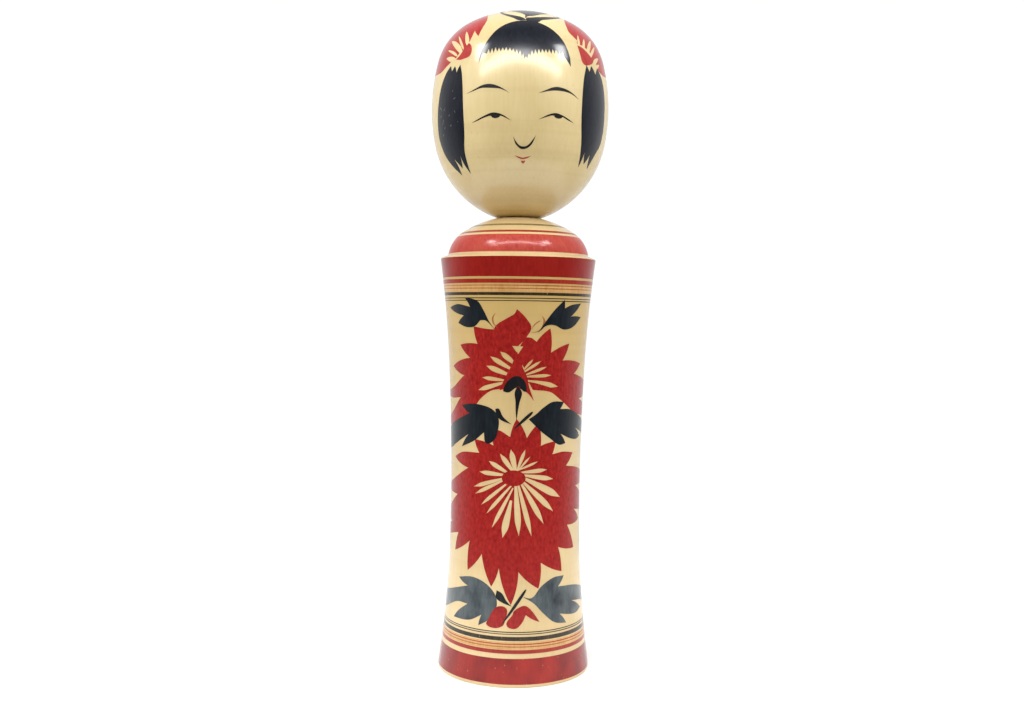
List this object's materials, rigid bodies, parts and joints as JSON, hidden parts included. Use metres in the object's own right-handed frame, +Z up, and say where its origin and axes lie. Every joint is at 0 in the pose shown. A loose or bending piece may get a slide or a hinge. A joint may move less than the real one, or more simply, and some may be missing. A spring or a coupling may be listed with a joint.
{
  "type": "kokeshi doll",
  "caption": "Tall limbless turned wooden doll: waisted trunk with a domed shoulder, and a large rounded head whose captive neck turns in the trunk.",
  "frame": {"origin": "centre of the standing ring, on the surface that the doll stands on", "axes": "+Z up along the turning axis, the face looks towards -Y, +X is the doll's own left"},
  "size_m": [0.081, 0.081, 0.3007],
  "materials": {
    "body_wood": "waxed pale dogwood, painted with dye inks",
    "head_wood": "waxed pale dogwood, painted with dye inks"
  },
  "bodies": {
    "trunk": {"body": "body_wood"},
    "head": {"head": "head_wood"}
  },
  "joints": [
    {"name": "head_turn", "type": "hinge", "parent": "trunk", "child": "head", "pos_m": [0, 0, 0.2], "axis": [0, 0, 1], "continuous": true}
  ]
}
